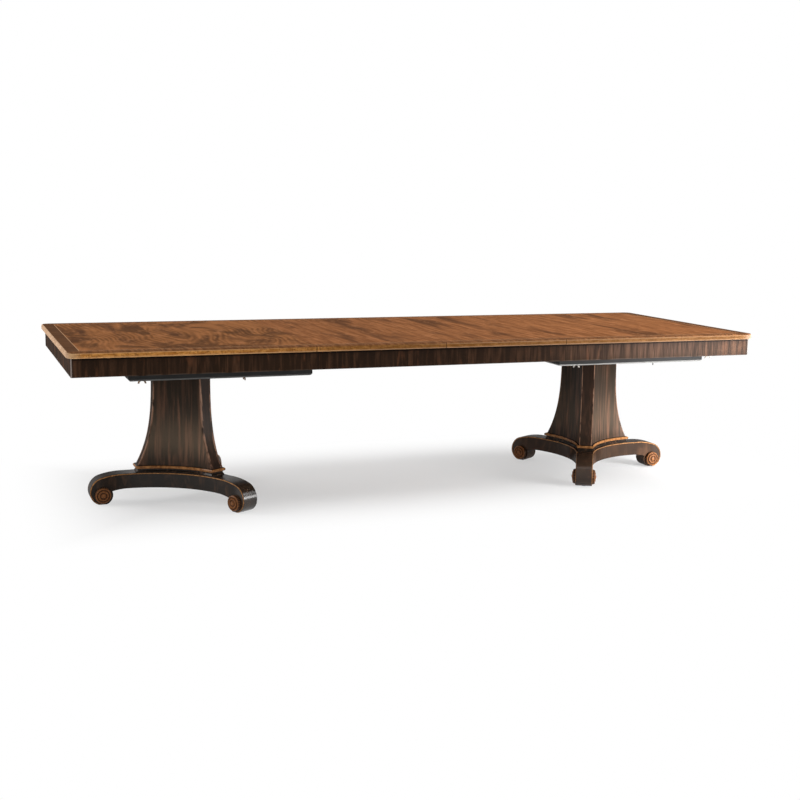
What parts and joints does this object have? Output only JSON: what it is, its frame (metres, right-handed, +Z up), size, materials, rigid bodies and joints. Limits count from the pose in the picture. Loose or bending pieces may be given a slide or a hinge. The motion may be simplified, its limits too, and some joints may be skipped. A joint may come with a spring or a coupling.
{
  "type": "extending dining table",
  "caption": "Long extending dining table: crossbanded top with drop-in leaves, dark skirt, geared slides, flared three-sided columns on scroll feet.",
  "frame": {"origin": "on the floor, below the middle of the table", "axes": "+X along the table, the front is at -Y, +Z up"},
  "size_m": [3.25, 1.168, 0.762],
  "materials": {
    "top_veneer": "figured veneer, satin lacquer",
    "lipping": "solid wood, satin lacquer",
    "ebonised_wood": "streaked dark veneer, satin lacquer",
    "gilt_wood": "turned, rubbed gilding",
    "black_board": "black paint",
    "frame_wood": "sawn",
    "slide_wood": "planed and waxed",
    "rack_steel": "zinc plated",
    "bolt_steel": "plated",
    "lock_brass": "plated",
    "glide_plastic": "moulded"
  },
  "bodies": {
    "left_half": {"left_top_panel": "top_veneer", "left_top_lipping": "lipping", "left_front_apron": "ebonised_wood", "left_back_apron": "ebonised_wood", "left_end_apron": "ebonised_wood", "left_corner_blocks": "frame_wood", "left_front_rail": "slide_wood", "left_back_rail": "slide_wood", "left_racks": "rack_steel", "left_mounting_board": "black_board", "left_cleats": "frame_wood", "left_board_bolts": "bolt_steel", "left_seam_fittings": "lock_brass", "left_column": "ebonised_wood", "left_plinth": "ebonised_wood", "left_hub": "ebonised_wood", "left_end_arm": "ebonised_wood", "left_front_arm": "ebonised_wood", "left_back_arm": "ebonised_wood", "left_rosettes": "gilt_wood", "left_glides": "glide_plastic", "left_tie_rod": "bolt_steel"},
    "right_half": {"right_top_panel": "top_veneer", "right_top_lipping": "lipping", "right_front_apron": "ebonised_wood", "right_back_apron": "ebonised_wood", "right_end_apron": "ebonised_wood", "right_corner_blocks": "frame_wood", "right_front_rail": "slide_wood", "right_back_rail": "slide_wood", "right_racks": "rack_steel", "right_mounting_board": "black_board", "right_cleats": "frame_wood", "right_board_bolts": "bolt_steel", "right_seam_fittings": "lock_brass", "right_column": "ebonised_wood", "right_plinth": "ebonised_wood", "right_hub": "ebonised_wood", "right_end_arm": "ebonised_wood", "right_front_arm": "ebonised_wood", "right_back_arm": "ebonised_wood", "right_rosettes": "gilt_wood", "right_glides": "glide_plastic", "right_tie_rod": "bolt_steel"},
    "left_leaf": {"left_leaf_panel": "top_veneer", "left_leaf_lipping": "lipping", "left_leaf_aprons": "ebonised_wood", "left_leaf_lock_fittings": "lock_brass"},
    "right_leaf": {"right_leaf_panel": "top_veneer", "right_leaf_lipping": "lipping", "right_leaf_aprons": "ebonised_wood", "right_leaf_lock_fittings": "lock_brass"},
    "centre_slides": {"front_centre_rail": "slide_wood", "back_centre_rail": "slide_wood", "centre_ties": "slide_wood"},
    "front_pinion_gear": {"front_pinion": "rack_steel"},
    "back_pinion_gear": {"back_pinion": "rack_steel"},
    "left_lock": {"left_lock_hook": "lock_brass"},
    "right_lock": {"right_lock_hook": "lock_brass"},
    "middle_lock": {"middle_lock_hook": "lock_brass"}
  },
  "joints": [
    {"name": "left_half_slide", "type": "slide", "parent": "centre_slides", "child": "left_half", "axis": [-1, 0, 0], "range_m": [0, 0.05]},
    {"name": "right_half_slide", "type": "slide", "parent": "centre_slides", "child": "right_half", "axis": [1, 0, 0], "range_m": [0, 0.05]},
    {"name": "front_pinion_spin", "type": "hinge", "parent": "centre_slides", "child": "front_pinion_gear", "pos_m": [0, -0.25, 0.7168], "axis": [0, 0, 1], "range_deg": [-118, 0]},
    {"name": "back_pinion_spin", "type": "hinge", "parent": "centre_slides", "child": "back_pinion_gear", "pos_m": [0, 0.25, 0.7168], "axis": [0, 0, 1], "range_deg": [-118, 0]},
    {"name": "left_leaf_lift", "type": "slide", "parent": "centre_slides", "child": "left_leaf", "axis": [0, 0, 1], "range_m": [0, 0.25]},
    {"name": "right_leaf_lift", "type": "slide", "parent": "centre_slides", "child": "right_leaf", "axis": [0, 0, 1], "range_m": [0, 0.25]},
    {"name": "left_lock_swing", "type": "hinge", "parent": "left_half", "child": "left_lock", "pos_m": [-0.63, 0, 0.7305], "axis": [0, 0, -1], "range_deg": [0, 90]},
    {"name": "right_lock_swing", "type": "hinge", "parent": "right_half", "child": "right_lock", "pos_m": [0.63, 0, 0.7305], "axis": [0, 0, -1], "range_deg": [0, 90]},
    {"name": "middle_lock_swing", "type": "hinge", "parent": "left_leaf", "child": "middle_lock", "pos_m": [-0.035, 0, 0.7305], "axis": [0, 0, -1], "range_deg": [0, 90]}
  ],
  "couplings": [
    {"joint": "right_half_slide", "follows": "left_half_slide", "ratio": 1},
    {"joint": "front_pinion_spin", "follows": "left_half_slide", "rad_per_m": -40.816},
    {"joint": "back_pinion_spin", "follows": "left_half_slide", "rad_per_m": -40.816}
  ]
}
